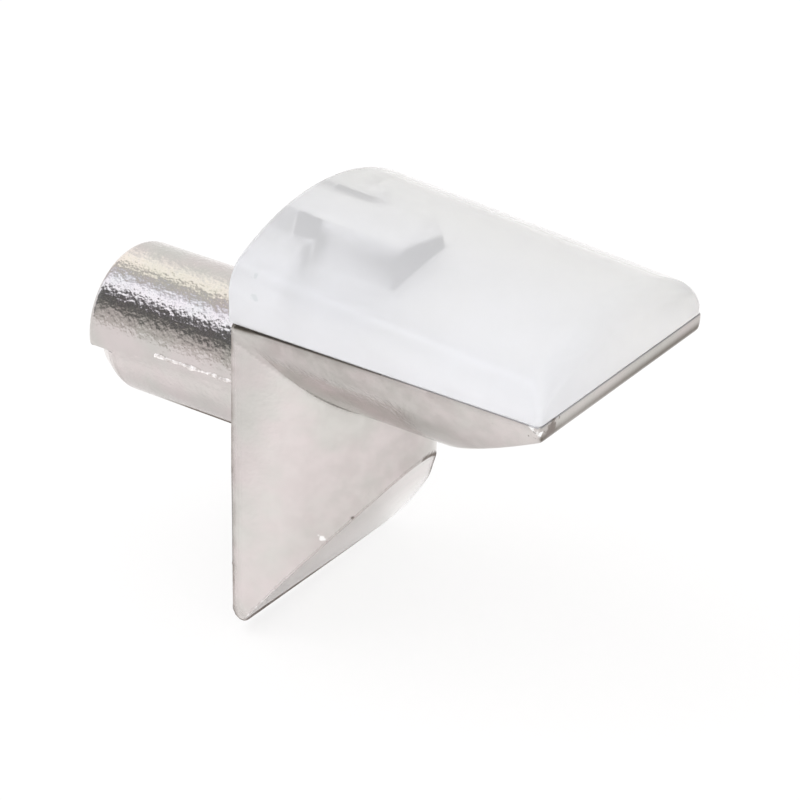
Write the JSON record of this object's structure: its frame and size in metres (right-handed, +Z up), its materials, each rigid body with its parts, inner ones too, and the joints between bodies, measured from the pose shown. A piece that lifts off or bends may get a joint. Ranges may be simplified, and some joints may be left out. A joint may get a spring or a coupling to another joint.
{
  "type": "shelf support pin",
  "caption": "Plug-in shelf support: a half-round seat, wall plate and gusset cast on a pin, with a clear arched pad on the seat.",
  "frame": {"origin": "on the pin's axis, in the plane of the cabinet side that the wall plate bears on", "axes": "+X out of the cabinet side along the pin's axis, +Y across the seat, +Z up"},
  "size_m": [0.0194, 0.0094, 0.0146],
  "materials": {
    "support_casting": "nickel plate over zinc casting, satin",
    "cushion_pad": "clear soft plastic, slightly milky"
  },
  "bodies": {
    "root": {"support_casting": "support_casting", "cushion_pad": "cushion_pad"}
  },
  "joints": []
}
